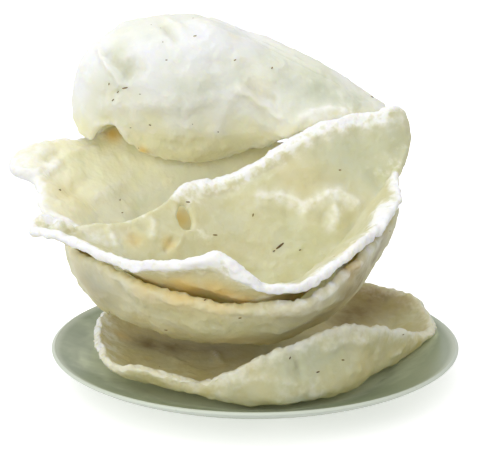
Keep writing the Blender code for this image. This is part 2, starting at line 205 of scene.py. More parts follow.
# painted light on lit tops and lips, painted highlights on wrinkles and lightened crevices, with chalk on
# some rims
PAINTED_LIGHT_AND_CHALK = [
    ((102, 322), 7.0, 1.0), ((104, 334), 7.0, 1.0), ((100, 346), 6.0, 1.0), ((97, 356), 6.0, 0.9),
    ((24, 160), 9.0, 1.0), ((40, 150), 8.0, 0.7), ((50, 168), 7.0, 0.8), ((38, 195), 5.0, 0.7),
    ((50, 218), 8.0, 0.7), ((98, 60), 9.0, 0.8), ((200, 38), 20.0, 0.7), ((155, 60), 18.0, 0.6),
    ((95, 236), 8.0, 0.5), ((110, 240), 8.0, 0.5), ((198, 185), 6.0, 0.7), ((212, 185), 6.0, 0.8),
    ((228, 180), 6.0, 0.8), ((244, 173), 6.0, 0.9), ((260, 164), 6.0, 0.9), ((276, 154), 6.0, 0.9),
    ((292, 145), 6.0, 0.9), ((308, 137), 6.0, 0.9), ((324, 131), 6.0, 0.8), ((342, 126), 6.0, 0.7),
    ((362, 122), 6.0, 0.7), ((382, 119), 6.0, 0.7), ((400, 116), 6.0, 0.6), ((312, 115), 6.0, 0.6),
    ((328, 111), 6.0, 0.6), ((344, 112), 6.0, 0.6), ((262, 197), 5.0, 0.5), ((278, 197), 5.0, 0.7),
    ((292, 200), 5.0, 0.7), ((303, 207), 5.0, 0.6), ((318, 200), 5.0, 0.6), ((334, 194), 6.0, 0.8),
    ((337, 212), 5.0, 0.6), ((350, 203), 5.0, 0.5), ((333, 226), 4.0, 0.5), ((198, 257), 6.0, 0.9),
    ((210, 257), 6.0, 1.0), ((221, 263), 6.0, 1.0), ((232, 272), 6.0, 0.9), ((107, 322), 9.0, 1.0),
    ((106, 334), 9.0, 1.0), ((105, 346), 8.0, 1.0), ((112, 356), 6.0, 0.7), ((388, 224), 5.0, 0.8),
    ((378, 232), 5.0, 0.8), ((390, 212), 5.0, 0.6), ((265, 298), 5.0, 0.6), ((282, 299), 5.0, 0.7),
    ((298, 297), 5.0, 0.8), ((315, 291), 5.0, 0.8), ((330, 283), 5.0, 0.8), ((345, 273), 5.0, 0.8),
    ((358, 262), 5.0, 0.7), ((370, 250), 5.0, 0.7), ((380, 240), 5.0, 0.6), ((20, 150), 8.0, 0.8),
    ((34, 142), 6.0, 0.7),
]
# painted grey shade, such as on the hood's shaded lower right and in its creases
PAINTED_GREY_SHADE = [
    ((118, 50), 8.0, 0.6), ((128, 67), 7.0, 0.6), ((166, 27), 7.0, 0.4), ((148, 35), 6.0, 0.3),
    ((320, 92), 22.0, 0.8), ((352, 102), 14.0, 0.7), ((285, 75), 16.0, 0.5), ((372, 175), 9.0, 0.6),
    ((395, 135), 14.0, 0.5), ((345, 160), 20.0, 0.6), ((268, 126), 10.0, 0.4), ((275, 235), 16.0, 0.25),
    ((400, 330), 14.0, 0.4), ((240, 390), 14.0, 0.4), ((300, 368), 20.0, 0.7), ((225, 222), 14.0, 0.3),
    ((95, 282), 14.0, 0.5), ((208, 86), 14.0, 0.5), ((235, 82), 14.0, 0.5), ((180, 90), 12.0, 0.45),
    ((335, 358), 14.0, 0.5),
]

# stretches of rim that are neither white nor thick
BARE = [
    ((172, 224), 8.0, 1.5), ((199, 218), 9.0, 1.5), ((184, 206), 7.0, 1.5), ((187, 234), 9.0, 1.5),
    ((409, 122), 9.0, 1.0), ((411, 140), 9.0, 1.0), ((407, 156), 9.0, 1.0), ((400, 168), 7.0, 0.8),
    ((85, 229), 9.0, 0.9), ((103, 229), 9.0, 0.9), ((121, 229), 9.0, 0.9), ((139, 224), 9.0, 0.9),
    ((154, 216), 9.0, 0.9), ((166, 206), 9.0, 0.9),
]

# single specks: picture point, length, and the way that it points in the picture, in degrees
SPECKS = [
    ((195, 36), 2.0, 20), ((272, 68), 1.6, 60), ((372, 97), 1.8, 10), ((253, 215), 1.8, 80),
    ((215, 235), 2.6, 5), ((188, 202), 2.2, 0), ((113, 100), 1.8, 40), ((125, 88), 3.2, 15),
    ((109, 84), 1.6, 70), ((118, 92), 1.8, 50), ((280, 246), 6.0, 48), ((274, 251), 1.6, 30),
    ((318, 372), 1.8, 20), ((290, 358), 1.4, 60), ((343, 360), 1.6, 0), ((166, 330), 1.8, 30),
    ((240, 318), 1.5, 10), ((205, 300), 1.6, 60), ((300, 250), 1.3, 20), ((340, 170), 1.4, 0),
    ((60, 190), 1.6, 20), ((120, 200), 1.5, 60), ((235, 60), 1.4, 30), ((150, 125), 1.5, 0),
]
# a single speck is as wide as the first of these, and the second times its length besides
SPECK_WIDTH = (0.45, 0.12)
SPECK_THICKNESS = 0.7

# strewn specks: how many on a square metre, the longest one, the shape of the smallest and the largest
# as shares of that, and the seed of the first papadum's
STREWN_DENSITY = 420.0
STREWN_LENGTH = 1.5
STREWN_SMALLEST = (0.25, 0.20, 0.12)
STREWN_LARGEST = (1.0, 0.45, 0.22)
STREWN_SEED = 3

# stage: the table, and each lamp's name, place, side and power; all lamps look at LAMP_TARGET
FLOOR_SIDE = 40000.0
LAMPS = [
    ("ceiling", (-350.0, 0.0, 1050.0), 900.0, 2.8),
    ("window", (-450.0, -850.0, 400.0), 800.0, 2.2),
    ("low window", (-150.0, -1000.0, 90.0), 600.0, 1.3),
]
LAMP_TARGET = (0.0, 0.0, 70.0)

# daylight: its level from above and from below, how much stronger it is from the left,
# and the sines over which it changes from one to the other
DAY_ABOVE = 0.76
DAY_BELOW = 0.62
DAY_LEFT = 0.25
DAY_HORIZON = 0.35
DAY_SIDE = 0.8

# ---------------------------------------------------------------- colours, as the eye sees them, 0 to 255
CHALK = (255, 254, 250)
CHALK_STREAK = (206, 200, 176)
MOTTLE_CREAM = (246, 246, 236)
PATCH_GREEN = (196, 206, 170)
# painted highlight on fold ridges, then painted shade in fold valleys
RIDGE_HIGHLIGHT = (248, 246, 236)
VALLEY_SHADE = (190, 186, 148)
# painted brown shade
SHADE_BROWN = (140, 121, 77)
# painted grey shade
SHADE_GREY_CREAM = (192, 198, 176)
# painted golden glow
GLOW_GOLD = (236, 203, 122)
GLAZE_DARK = (141, 154, 127)
GLAZE_LIGHT = (155, 166, 141)
# painted light, lifting the glaze where the stack's shadow falls
GLAZE_PAINTED_LIGHT = (236, 245, 216)
# painted highlight along the lip
GLAZE_LIP_HIGHLIGHT = (214, 221, 208)
IRON_DOT = (140, 138, 112)
SPECK_DARK = (84, 62, 34)
SPECK_OLIVE = (142, 122, 70)
TABLE_WHITE = (250, 250, 250)
TABLE_HAZE = (253, 253, 253)

# ---------------------------------------------------------------- patterns: sizes, then noise at their edges
PATCH_SIZE = 34.0
PATCH_EDGE = (0.36, 0.66)
MOTTLE_SIZE = 9.0
MOTTLE_EDGE = (0.32, 0.70)
STREAK_SIZE = 3.5
STREAK_EDGE = (0.30, 0.70)
FUZZ_SIZE = 3.4
PORE_SIZE = 2.3
PORE_SMOOTHNESS = 0.35
GRAIN_SIZE = 1.1
CLOUD_SIZE = 40.0
CLOUD_EDGE = (0.35, 0.68)
RIPPLE_SIZE = 14.0
FINE_SIZE = 2.6
DOT_SIZE = 1.5
DOT_EDGE = (0.73, 0.78)
SHADE_SIZE = 5.0
SHADE_EDGE = (0.35, 0.65)
HUSK_SIZE = 0.5
HAZE_SIZE = 300.0

# what the points carry, at the edges of a colour: shelter of rice sheet, which paints shade into its cream,
# and of glaze, which paints light into it; fringe of the rim; height of a fold in millimetres; and radius of
# the painted lip highlight
PAINTED_SHADE_EDGE = (0.05, 0.60)
PAINTED_LIGHT_EDGE = (0.45, 0.90)
FRINGE_EDGE = (0.30, 0.95)
CREST_EDGE = (0.2, 2.0)
LIP_EDGE = (95.0, 99.2)

# ---------------------------------------------------------------- shares of a colour, roughness or coat
# of two numbers, the first is even, and the second follows a pattern
# painted shade in the cream: random patches add to it, blister domes take from it, and it is a little less
# all over
PATCHES_IN_PAINTED_SHADE = 0.16
PAINTED_SHADE_LESS_ON_DOMES = 0.08
PAINTED_SHADE_LESS = 0.04
MOTTLE_SHARE = 0.22
PATCH_SHARE = 0.24
# shares of painted brown shade, then of painted grey shade
BROWN_SHADE_SHARE = (0.75, 0.3)
GREY_SHADE_SHARE = (0.7, 0.4)
RIDGE_HIGHLIGHT_SHARE = (0.2, 0.5)
VALLEY_SHARE = (0.2, 0.3)
RAGGED_SHARE = 0.32
# share of the painted light and chalk of the pale places
LIGHT_AND_CHALK_SHARE = (0.35, 0.8)
STREAK_SHARE = 0.14
CRISP_ROUGH = (0.42, 0.22)
GRAIN_ROUGH = 0.1
LIP_HIGHLIGHT_SHARE = 0.8
DOT_SHARE = 0.35
GLAZE_ROUGH = (0.30, 0.12)
GLAZE_COAT = (0.2, 0.1)
SPECK_ROUGH = (0.55, 0.2)
TABLE_ROUGH = (0.75, 0.1)

# bump: strength and depth in millimetres, then the shares of the patterns in its height
CRISP_BUMP = (0.35, 0.9)
GRAIN_HEIGHT = 0.35
PORE_HEIGHT = 0.45
FUZZ_HEIGHT = 0.9
GLAZE_BUMP = (0.25, 0.6)
RIPPLE_HEIGHT = 0.8
FINE_HEIGHT = 0.2
SPECK_BUMP = (0.4, 0.2)


# ---------------------------------------------------------------- node trees as sums and products

class Wire:
    """An output of a node. Sums, differences, products and quotients of wires add their Math nodes."""

    def __init__(self, graph, socket):
        self.graph = graph
        self.socket = socket

    def maths(self, operation, *values):
        return self.graph.node("ShaderNodeMath", {"operation": operation}, dict(enumerate(values)))

    def __add__(self, other):
        return self.maths("ADD", self, other)

    def __radd__(self, other):
        return self.maths("ADD", other, self)

    def __sub__(self, other):
        return self.maths("SUBTRACT", self, other)

    def __rsub__(self, other):
        return self.maths("SUBTRACT", other, self)

    def __mul__(self, other):
        return self.maths("MULTIPLY", self, other)

    def __rmul__(self, other):
        return self.maths("MULTIPLY", other, self)

    def __truediv__(self, other):
        return self.maths("DIVIDE", self, other)

    def __rtruediv__(self, other):
        return self.maths("DIVIDE", other, self)

    def at_most(self, other):
        return self.maths("MINIMUM", self, other)

    def between(self, low, high):
        """0 below low, 1 above high, and a smooth slope from one to the other."""
        return self.graph.node("ShaderNodeMapRange", {"interpolation_type": "SMOOTHSTEP"},
                               {"Value": self, "From Min": low, "From Max": high})


class Graph:
    """A node tree that grows by one node with each call."""

    def __init__(self, tree):
        self.tree = tree
        tree.nodes.clear()

    def node(self, kind, settings, sockets, out=0):
        """Add a node: its settings, then the values or wires of its sockets.

        Returns the output that out names or counts to, if the node has any.
        """
        made = self.tree.nodes.new(kind)
        for name, value in settings.items():
            setattr(made, name, value)
        for name, value in sockets.items():
            if isinstance(value, Wire):
                self.tree.links.new(value.socket, made.inputs[name])
            else:
                made.inputs[name].default_value = value
        if not made.outputs:
            return None
        return Wire(self, made.outputs[out])

    def noise(self, size, place, detail=2.0, shift=0.0):
        """Noise whose lumps are about size millimetres."""
        return self.node("ShaderNodeTexNoise", {"noise_dimensions": "4D"},
                         {"Vector": place, "W": shift, "Scale": 1.0 / (size * MM), "Detail": detail})

    def pores(self, size, place):
        """Rounded cells of about size millimetres."""
        return self.node("ShaderNodeTexVoronoi", {"feature": "SMOOTH_F1"},
                         {"Vector": place, "Scale": 1.0 / (size * MM), "Smoothness": PORE_SMOOTHNESS,
                          "Randomness": 1.0})

    def bump(self, form, height):
        """A grain in the surface, as strong and as deep where height is 1 as form says."""
        strength, depth = form
        return self.node("ShaderNodeBump", {},
                         {"Strength": strength, "Distance": depth * MM, "Height": height})

    def blend(self, amount, low, high):
        """The colour low where amount is 0, and high where it is 1."""
        # sockets 6 and 7 and output 2 are the ones for colours
        return self.node("ShaderNodeMix", {"data_type": "RGBA"}, {0: amount, 6: low, 7: high}, 2)

    def vector(self, operation, first, second):
        return self.node("ShaderNodeVectorMath", {"operation": operation}, {0: first, 1: second})

    def times(self, vector, amount):
        return self.node("ShaderNodeVectorMath", {"operation": "SCALE"}, {0: vector, "Scale": amount})

    def place(self):
        """Where each point is on its own piece."""
        return self.node("ShaderNodeTexCoord", {}, {}, "Object")

    def measure(self, name):
        """A number that each point of the mesh carries."""
        if self.tree.bl_idname == "GeometryNodeTree":
            return self.node("GeometryNodeInputNamedAttribute", {"data_type": "FLOAT"}, {"Name": name})
        return self.node("ShaderNodeAttribute", {"attribute_name": name}, {}, "Fac")


def colour(seen):
    """A colour as the eye sees it, 0 to 255, as the linear values that a shader takes."""
    parts = [c / 255.0 for c in seen]
    return tuple(c / 12.92 if c <= 0.04045 else ((c + 0.055) / 1.055) ** 2.4 for c in parts) + (1.0,)


# ---------------------------------------------------------------- finishes

def new_finish(name, **constants):
    """A material with one Principled shader, whose even values are set on its own sockets."""
    made = bpy.data.materials.new(name)
    made.use_nodes = True
    graph = Graph(made.node_tree)
    shader = made.node_tree.nodes.new("ShaderNodeBsdfPrincipled")
    for socket, value in constants.items():
        shader.inputs[socket.replace("_", " ")].default_value = value
    graph.node("ShaderNodeOutputMaterial", {}, {"Surface": Wire(graph, shader.outputs[0])})
    return made, graph, shader


def uneven(share, pattern):
    """A share that is partly even and partly follows a pattern."""
    even, varied = share
    return even + varied * pattern


def feed(graph, shader, **wires):
    """Join wires to a shader's sockets."""
    for socket, wire in wires.items():
        graph.tree.links.new(wire.socket, shader.inputs[socket.replace("_", " ")])


def crisp_finish(name, shift, lit_cream, shaded_cream, chalk):
    """Fried rice sheet: chalky rims, a lit cream where it is open and a yellower painted shade where the
    stack closes it in, with painted light, shade and glow at listed places.
    """
    made, graph, shader = new_finish(name, Subsurface_Weight=0.6, Subsurface_Scale=0.009,
                                     Subsurface_Radius=(1.0, 0.8, 0.42), Specular_IOR_Level=0.3, IOR=1.45)
    place = graph.place()
    # a shift of its own sets each pattern apart from the others
    patches = graph.noise(PATCH_SIZE, place, 3.0, shift).between(*PATCH_EDGE)
    mottle = graph.noise(MOTTLE_SIZE, place, 4.0, shift + 3.0).between(*MOTTLE_EDGE)
    grain = graph.noise(GRAIN_SIZE, place, 3.0, shift + 6.0)
    fuzz = graph.noise(FUZZ_SIZE, place, 3.0, shift + 9.0)
    streaks = graph.noise(STREAK_SIZE, place, 3.0, shift + 12.0).between(*STREAK_EDGE)
    pores = graph.pores(PORE_SIZE, place)
    # the cream, with a yellower painted shade where the stack closes it in
    painted_shade = graph.measure("shelter").between(*PAINTED_SHADE_EDGE) + PATCHES_IN_PAINTED_SHADE * patches
    painted_shade = painted_shade - PAINTED_SHADE_LESS_ON_DOMES * graph.measure("dome") - PAINTED_SHADE_LESS
    tone = graph.blend(painted_shade.at_most(1.0), colour(lit_cream), colour(shaded_cream))
    tone = graph.blend(mottle * MOTTLE_SHARE, tone, colour(MOTTLE_CREAM))
    tone = graph.blend(patches * PATCH_SHARE, tone, colour(PATCH_GREEN))
    # painted brown and grey shade at listed places
    tone = graph.blend(graph.measure("brown_shade") * uneven(BROWN_SHADE_SHARE, mottle), tone, colour(SHADE_BROWN))
    tone = graph.blend(graph.measure("grey_shade") * uneven(GREY_SHADE_SHARE, mottle), tone, colour(SHADE_GREY_CREAM))
    # painted highlight on the ridges and painted shade in the valleys of the folds
    crest = graph.measure("crest")
    painted_ridge_highlight = crest.between(*CREST_EDGE)
    painted_valley_shade = (0.0 - crest).between(*CREST_EDGE)
    tone = graph.blend(painted_ridge_highlight * uneven(RIDGE_HIGHLIGHT_SHARE, streaks), tone, colour(RIDGE_HIGHLIGHT))
    tone = graph.blend(painted_valley_shade * uneven(VALLEY_SHARE, streaks), tone, colour(VALLEY_SHADE))
    # chalky rims, and painted light and chalk at the pale places, then the painted golden glow over them
    ragged = graph.measure("fringe") + RAGGED_SHARE * streaks
    pale = ragged.between(*FRINGE_EDGE) * chalk
    chalk_and_light = (pale + graph.measure("white") * uneven(LIGHT_AND_CHALK_SHARE, streaks)).at_most(1.0)
    tone = graph.blend(chalk_and_light, tone, colour(CHALK))
    tone = graph.blend(chalk_and_light * streaks * STREAK_SHARE, tone, colour(CHALK_STREAK))
    # painted golden glow in gaps, holes and hollows
    tone = graph.blend(graph.measure("golden_glow"), tone, colour(GLOW_GOLD))
    height = grain * GRAIN_HEIGHT + pores * PORE_HEIGHT + fuzz * FUZZ_HEIGHT
    rough = uneven(CRISP_ROUGH, mottle) + GRAIN_ROUGH * grain
    feed(graph, shader, Base_Color=tone, Roughness=rough, Normal=graph.bump(CRISP_BUMP, height))
    return made


def glaze_finish():
    """Grey-green glaze with fine iron dots: a painted highlight along the lip, and painted light where the
    stack closes it in and its shadow falls.
    """
    made, graph, shader = new_finish("celadon glaze", Coat_Roughness=0.12, Coat_IOR=1.4, IOR=1.4)
    place = graph.place()
    flat = graph.vector("MULTIPLY", place, (1.0, 1.0, 0.0))
    radius = graph.node("ShaderNodeVectorMath", {"operation": "LENGTH"}, {0: flat}, "Value")
    inner, outer = LIP_EDGE
    lip_highlight = radius.between(inner * MM, outer * MM)
    clouds = graph.noise(CLOUD_SIZE, place, 3.0, 2.0).between(*CLOUD_EDGE)
    fine = graph.noise(FINE_SIZE, place, 3.0, 5.0)
    dots = graph.noise(DOT_SIZE, place, 1.0, 8.0).between(*DOT_EDGE)
    ripple = graph.noise(RIPPLE_SIZE, place, 2.0, 11.0)
    tone = graph.blend(clouds, colour(GLAZE_DARK), colour(GLAZE_LIGHT))
    # painted light where the stack closes the glaze in
    tone = graph.blend(graph.measure("shelter").between(*PAINTED_LIGHT_EDGE), tone, colour(GLAZE_PAINTED_LIGHT))
    # painted highlight along the lip
    tone = graph.blend(lip_highlight * LIP_HIGHLIGHT_SHARE, tone, colour(GLAZE_LIP_HIGHLIGHT))
    tone = graph.blend(dots * DOT_SHARE, tone, colour(IRON_DOT))
    bump = graph.bump(GLAZE_BUMP, ripple * RIPPLE_HEIGHT + fine * FINE_HEIGHT)
    feed(graph, shader, Base_Color=tone, Roughness=uneven(GLAZE_ROUGH, fine),
         Coat_Weight=uneven(GLAZE_COAT, clouds), Normal=bump)
    return made


def fleck_finish():
    """Toasted seed and husk specks, from dark brown to olive."""
    made, graph, shader = new_finish("toasted speck", Specular_IOR_Level=0.3)
    place = graph.place()
    shade = graph.noise(SHADE_SIZE, place, 2.0, 4.0).between(*SHADE_EDGE)
    husk = graph.noise(HUSK_SIZE, place, 2.0, 6.0)
    tone = graph.blend(shade, colour(SPECK_DARK), colour(SPECK_OLIVE))
    feed(graph, shader, Base_Color=tone, Roughness=uneven(SPECK_ROUGH, husk),
         Normal=graph.bump(SPECK_BUMP, husk))
    return made


def floor_finish():
    """White table that gives a little light of its own, so it stays as pale as paper."""
    made, graph, shader = new_finish("white table", Specular_IOR_Level=0.2, Emission_Strength=0.5,
                                     Emission_Color=(1.0, 1.0, 1.0, 1.0))
    haze = graph.noise(HAZE_SIZE, graph.place(), 2.0)
    tone = graph.blend(haze, colour(TABLE_WHITE), colour(TABLE_HAZE))
    feed(graph, shader, Base_Color=tone, Roughness=uneven(TABLE_ROUGH, haze))
    return made


# ---------------------------------------------------------------- Geometry Nodes trees

def named_inputs(graph, numbers, counts=()):
    """Give a tree its geometry, its named sizes, counts and material, and return its input wires."""
    face = graph.tree.interface
    face.new_socket("Geometry", in_out="INPUT", socket_type="NodeSocketGeometry")
    for name in numbers:
        face.new_socket(name, in_out="INPUT", socket_type="NodeSocketFloat")
    for name in counts:
        face.new_socket(name, in_out="INPUT", socket_type="NodeSocketInt")
    face.new_socket("Finish", in_out="INPUT", socket_type="NodeSocketMaterial")
    face.new_socket("Geometry", in_out="OUTPUT", socket_type="NodeSocketGeometry")
    start = graph.tree.nodes.new("NodeGroupInput")
    return {socket.name: Wire(graph, socket) for socket in start.outputs if socket.name}


def close_tree(graph, geometry, finish):
    """End a tree in real, smooth faces with their material."""
    real = graph.node("GeometryNodeRealizeInstances", {}, {"Geometry": geometry})
    soft = graph.node("GeometryNodeSetShadeSmooth", {}, {"Geometry": real, "Shade Smooth": True})
    done = graph.node("GeometryNodeSetMaterial", {}, {"Geometry": soft, "Material": finish})
    graph.node("NodeGroupOutput", {}, {"Geometry": done})


def crisp_relief():
    """Crumple a sheet, both faces alike, then raise its blisters and thicken its nubbly rim."""
    graph = Graph(bpy.data.node_groups.new("crisp relief", "GeometryNodeTree"))
    sizes = [kind + side for kind in RELIEF for side in (" Size", " Height")]
    given = named_inputs(graph, sizes + ["Rim Growth", "Seed"])
    place = graph.node("GeometryNodeInputPosition", {}, {})
    normal = graph.node("GeometryNodeInputNormal", {}, {})
    rim = graph.measure("rim")

    def lumps(kind, detail, shift, out="Fac"):
        """Noise whose lumps have the size of their kind."""
        return graph.node("ShaderNodeTexNoise", {"noise_dimensions": "4D"},
                          {"Vector": place, "W": shift, "Scale": 1.0 / given[kind + " Size"],
                           "Detail": detail}, out)

    def drift(kind, detail, shift):
        """A push that is the same on both faces of the sheet, so it keeps its thickness."""
        cloud = graph.vector("SUBTRACT", lumps(kind, detail, shift, "Color"), (0.5, 0.5, 0.5))
        return graph.times(cloud, given[kind + " Height"] * 2.0)

    push = graph.vector("ADD", drift("Swell", 1.0, 0.0), drift("Crumple", 2.0, 20.0))
    push = graph.vector("ADD", push, graph.times(drift("Nub", 2.0, 40.0), rim))
    dome = lumps("Blister", 1.0, given["Seed"]).between(*BLISTER_EDGE)
    crinkle = lumps("Crinkle", 2.0, given["Seed"]) - 0.5
    growth = rim * given["Rim Growth"] * (0.5 + 1.0 * lumps("Nub", 1.0, given["Seed"]))
    rise = dome * given["Blister Height"]
    rise = rise + crinkle * given["Crinkle Height"] * (CRINKLE_OPEN + CRINKLE_RIM * rim) + growth
    push = graph.vector("ADD", push, graph.times(normal, rise))
    moved = graph.node("GeometryNodeSetPosition", {}, {"Geometry": given["Geometry"], "Offset": push})
    kept = graph.node("GeometryNodeStoreNamedAttribute", {"data_type": "FLOAT", "domain": "POINT"},
                      {"Geometry": moved, "Name": "dome", "Value": dome})
    close_tree(graph, kept, given["Finish"])
    return graph.tree


def fleck_scatter():
    """Small flattened specks strewn over a surface."""
    graph = Graph(bpy.data.node_groups.new("strewn specks", "GeometryNodeTree"))
    given = named_inputs(graph, ["Density", "Length"], ["Seed"])
    spots = graph.node("GeometryNodeDistributePointsOnFaces", {"distribute_method": "RANDOM"},
                       {"Mesh": given["Geometry"], "Density": given["Density"], "Seed": given["Seed"]})
    turn = Wire(graph, spots.socket.node.outputs["Rotation"])
    speck = graph.node("GeometryNodeMeshIcoSphere", {}, {"Radius": 0.5, "Subdivisions": 2})
    stretch = graph.node("FunctionNodeRandomValue", {"data_type": "FLOAT_VECTOR"},
                         {0: STREWN_SMALLEST, 1: STREWN_LARGEST})
    sizes = graph.times(stretch, given["Length"])
    strewn = graph.node("GeometryNodeInstanceOnPoints", {},
                        {"Points": spots, "Instance": speck, "Rotation": turn, "Scale": sizes})
    close_tree(graph, strewn, given["Finish"])
    return graph.tree


def through_tree(piece, tree, values):
    """Run a piece through a Geometry Nodes tree once and leave it a plain mesh."""
    rule = piece.modifiers.new("rule", "NODES")
    rule.node_group = tree
    for item in tree.interface.items_tree:
        if item.in_out == "INPUT" and item.name in values:
            rule[item.identifier] = values[item.name]
    return made_plain(piece)


def made_plain(piece):
    """Apply all modifiers of a piece by taking its evaluated mesh."""
    bpy.context.view_layer.update()
    result = bpy.data.meshes.new_from_object(piece.evaluated_get(bpy.context.evaluated_depsgraph_get()))
    piece.modifiers.clear()
    old = piece.data
    piece.data = result
    bpy.data.meshes.remove(old)
    return piece


# ---------------------------------------------------------------- pieces

def new_piece(name, data):
    """An object of a mesh, a light or a camera, placed in the scene."""
    made = bpy.data.objects.new(name, data)
    bpy.context.scene.collection.objects.link(made)
    return made


def welded_copy(node, name):
    """A copy of a packed papadum with its loose triangles joined into quads."""
    bm = bmesh.new()
    bm.from_mesh(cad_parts[node].data)
    bmesh.ops.remove_doubles(bm, verts=bm.verts[:], dist=WELD * MM)
    bmesh.ops.join_triangles(bm, faces=bm.faces[:], angle_face_threshold=math.pi,
                             angle_shape_threshold=math.pi)
    mesh = bpy.data.meshes.new(name)
    bm.to_mesh(mesh)
    bm.free()
    return mesh


def rim_line(mesh):
    """Points along the edge of a coarse sheet, as a tree that finds the nearest one."""
    bm = bmesh.new()
    bm.from_mesh(mesh)
    corner = math.radians(RIM_CORNER)
    sharp = {v.index for e in bm.edges if e.is_manifold and e.calc_face_angle() > corner for v in e.verts}
    bm.free()
    points = np.array([v.co for v in mesh.vertices])
    outer = set()
    for k in sharp:
        near = points[((points - points[k]) ** 2).sum(axis=1) < (RIM_LOOK * MM) ** 2]
        if np.linalg.norm(near.mean(axis=0) - points[k]) > RIM_OFFSET * MM:
            outer.add(k)
    line = [points[k] for k in sorted(outer)]
    for joint in mesh.edges:
        start, stop = joint.vertices
        if start in outer and stop in outer:
            way = points[stop] - points[start]
            line += [points[start] + way * k / RIM_STEPS for k in range(1, RIM_STEPS)]
    tree = KDTree(len(line))
    for k, point in enumerate(line):
        tree.insert(point, k)
    tree.balance()
    return tree


def shelter_of(mesh, stack):
    """How much of the stack closes in each point: the share of lines of sight that meet it."""
    directions = sphere_directions(SIGHT_LINES)
    shelters = []
    for vertex in mesh.vertices:
        normal = np.array(vertex.normal)
        start = vertex.co + vertex.normal * (SIGHT_START * MM)
        seen = [Vector(d) for d in directions if float(d @ normal) > SIGHT_RISE]
        hits = [stack.ray_cast(start, d, SIGHT_REACH * MM)[0] for d in seen]
        shelters.append(sum(h is not None for h in hits) / len(seen))
    return np.array(shelters)


def sphere_directions(count):
    """Evenly spread directions on a sphere, along a spiral."""
    steps = np.arange(count) + 0.5
    heights = 1.0 - 2.0 * steps / count
    turns = steps * math.pi * (3.0 - math.sqrt(5.0))
    rings = np.sqrt(1.0 - heights ** 2)
    return np.stack([rings * np.cos(turns), rings * np.sin(turns), heights], axis=1)


def surface_of(objects):
    """All faces of some objects as one tree for rays."""
    points = []
    faces = []
    for one in objects:
        base = len(points)
        points.extend(v.co.copy() for v in one.data.vertices)
        faces.extend([base + k for k in p.vertices] for p in one.data.polygons)
    return BVHTree.FromPolygons(points, faces)


def eye():
    """Where the photograph was taken from, and how the eye is turned."""
    tilt = math.radians(ELEVATION)
    place = Vector((AIM[0], -DISTANCE * math.cos(tilt), PLATE_HEIGHT + DISTANCE * math.sin(tilt))) * MM
    return place, (Vector(AIM) * MM - place).to_track_quat("-Z", "Y")


def seen_at(point, surface):
    """Where the line of sight through a picture point meets a surface, and the surface's direction there."""
    place, turn = eye()
    ray = Vector(((point[0] - PICTURE[0] / 2) / FOCAL, (PICTURE[1] / 2 - point[1]) / FOCAL, -1.0))
    hit, normal, _, _ = surface.ray_cast(place, (turn @ ray).normalized())
    return hit, normal


def read_out(items, name):
    """One vector of each item, as rows."""
    values = np.empty(len(items) * 3)
    items.foreach_get(name, values)
    return values.reshape(-1, 3)


def route_of(line):
    """The points of a line and, every FOLD_STEP pixels or so, points between them."""
    route = []
    for (x0, y0), (x1, y1) in zip(line, line[1:]):
        steps = max(int(math.hypot(x1 - x0, y1 - y0) / FOLD_STEP), 1)
        route += [(x0 + (x1 - x0) * k / steps, y0 + (y1 - y0) * k / steps) for k in range(steps)]
    return route + [line[-1]]


def fold(mesh, line, width, height, crest):
    """Press a rounded fold into both faces of a sheet, along a line of picture points.

    Its height at each point of the mesh is added to crest.
    """
    surface = BVHTree.FromPolygons([v.co for v in mesh.vertices], [p.vertices[:] for p in mesh.polygons])
    met = [seen_at(p, surface) for p in route_of(line)]
    spots = np.array([hit for hit, _ in met if hit])
    if not len(spots):
        return
    facing = np.array([normal for hit, normal in met if hit])
    outward = np.array([facing[max(k - FOLD_LOOK, 0):k + FOLD_LOOK + 1].mean(axis=0)
                        for k in range(len(facing))])
    outward /= np.linalg.norm(outward, axis=1, keepdims=True)
    from_start = np.arange(len(spots)) + 1
    fade = np.minimum(1.0, np.minimum(from_start, from_start[::-1]) / FOLD_EASE)
    points = read_out(mesh.vertices, "co")
    reach = FOLD_REACH * width * MM
    inside = (points > spots.min(axis=0) - reach) & (points < spots.max(axis=0) + reach)
    close = np.flatnonzero(inside.all(axis=1))
    gaps = points[close][:, None] - spots[None]
    along = (gaps * outward[None]).sum(axis=2)
    aside = np.linalg.norm(gaps - along[..., None] * outward[None], axis=2)
    nearest = (aside + FOLD_SLANT * np.abs(along)).argmin(axis=1)
    rows = np.arange(len(close))
    weight = np.exp(-(aside[rows, nearest] / (width * MM)) ** 2) * fade[nearest]
    weight *= np.clip(2.0 - np.abs(along[rows, nearest]) / (FOLD_DEPTH * MM), 0.0, 1.0)
    points[close] += outward[nearest] * (weight * height * MM)[:, None]
    crest[close] += weight * height
    mesh.vertices.foreach_set("co", points.ravel())


def nearness(mesh, stack, places):
    """How near each point is to one of several places, times the strength of that place.

    A point on the far face of the sheet, which looks the other way, isn't near.
    """
    points = read_out(mesh.vertices, "co")
    facing = read_out(mesh.vertex_normals, "vector")
    near = np.zeros(len(points))
    for spot, reach, strength in places:
        hit, normal = seen_at(spot, stack)
        if hit:
            gaps = np.linalg.norm(points - np.array(hit), axis=1) / (reach * MM)
            same_side = np.clip(FACING_SHARE + FACING_SLOPE * (facing @ np.array(normal)), 0.0, 1.0)
            near = np.maximum(near, strength * np.exp(-gaps ** 2 * PLACE_FADE) * same_side)
    return near


def carry(mesh, name, values):
    """Store a number at each point of a mesh."""
    layer = mesh.attributes.new(name, "FLOAT", "POINT")
    layer.data.foreach_set("value", values.astype(np.float32))


